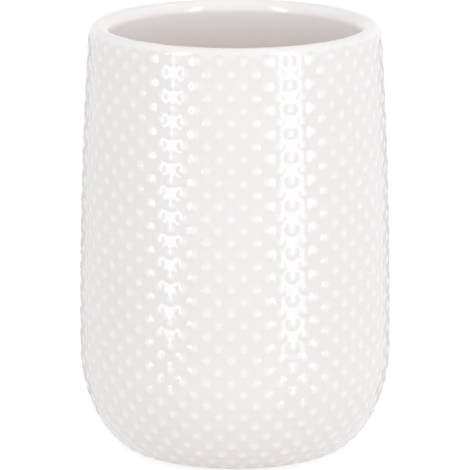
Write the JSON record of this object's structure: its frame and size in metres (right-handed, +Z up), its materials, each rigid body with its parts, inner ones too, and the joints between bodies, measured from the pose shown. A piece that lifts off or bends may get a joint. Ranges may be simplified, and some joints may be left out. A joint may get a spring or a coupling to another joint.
{
  "type": "bathroom tumbler",
  "caption": "Round white glazed ceramic bathroom tumbler with a plain rounded lip, staggered rows of raised dots on its gently swelling wall, and stick-on feet under a recessed base.",
  "frame": {"origin": "middle of the plane that the feet stand on, on the cup's axis", "axes": "+Z up along the cup's axis, -Y towards the viewer of the picture, +X to the viewer's right"},
  "size_m": [0.0782, 0.0782, 0.1068],
  "materials": {
    "white_glaze": "clear gloss glaze over a white body, faintly warm, bare on the foot ring",
    "raised_dots": "white slip under the same gloss glaze, a little whiter where the glaze is thin",
    "foot_rubber": "milky soft rubber, satin",
    "adhesive": "thin clear adhesive film"
  },
  "bodies": {
    "root": {"ceramic_body": "white_glaze", "dot_row_01": "raised_dots", "dot_row_02": "raised_dots", "dot_row_03": "raised_dots", "dot_row_04": "raised_dots", "dot_row_05": "raised_dots", "dot_row_06": "raised_dots", "dot_row_07": "raised_dots", "dot_row_08": "raised_dots", "dot_row_09": "raised_dots", "dot_row_10": "raised_dots", "dot_row_11": "raised_dots", "dot_row_12": "raised_dots", "dot_row_13": "raised_dots", "dot_row_14": "raised_dots", "dot_row_15": "raised_dots", "dot_row_16": "raised_dots", "dot_row_17": "raised_dots", "dot_row_18": "raised_dots", "dot_row_19": "raised_dots", "dot_row_20": "raised_dots", "dot_row_21": "raised_dots", "dot_row_22": "raised_dots", "dot_row_23": "raised_dots", "dot_row_24": "raised_dots", "dot_row_25": "raised_dots", "dot_row_26": "raised_dots", "dot_row_27": "raised_dots", "dot_row_28": "raised_dots", "dot_row_29": "raised_dots", "dot_row_30": "raised_dots", "dot_row_31": "raised_dots", "dot_row_32": "raised_dots", "dot_row_33": "raised_dots", "dot_row_34": "raised_dots", "dot_row_35": "raised_dots", "dot_row_36": "raised_dots", "dot_row_37": "raised_dots", "foot_pads": "foot_rubber", "pad_adhesive": "adhesive"}
  },
  "joints": []
}
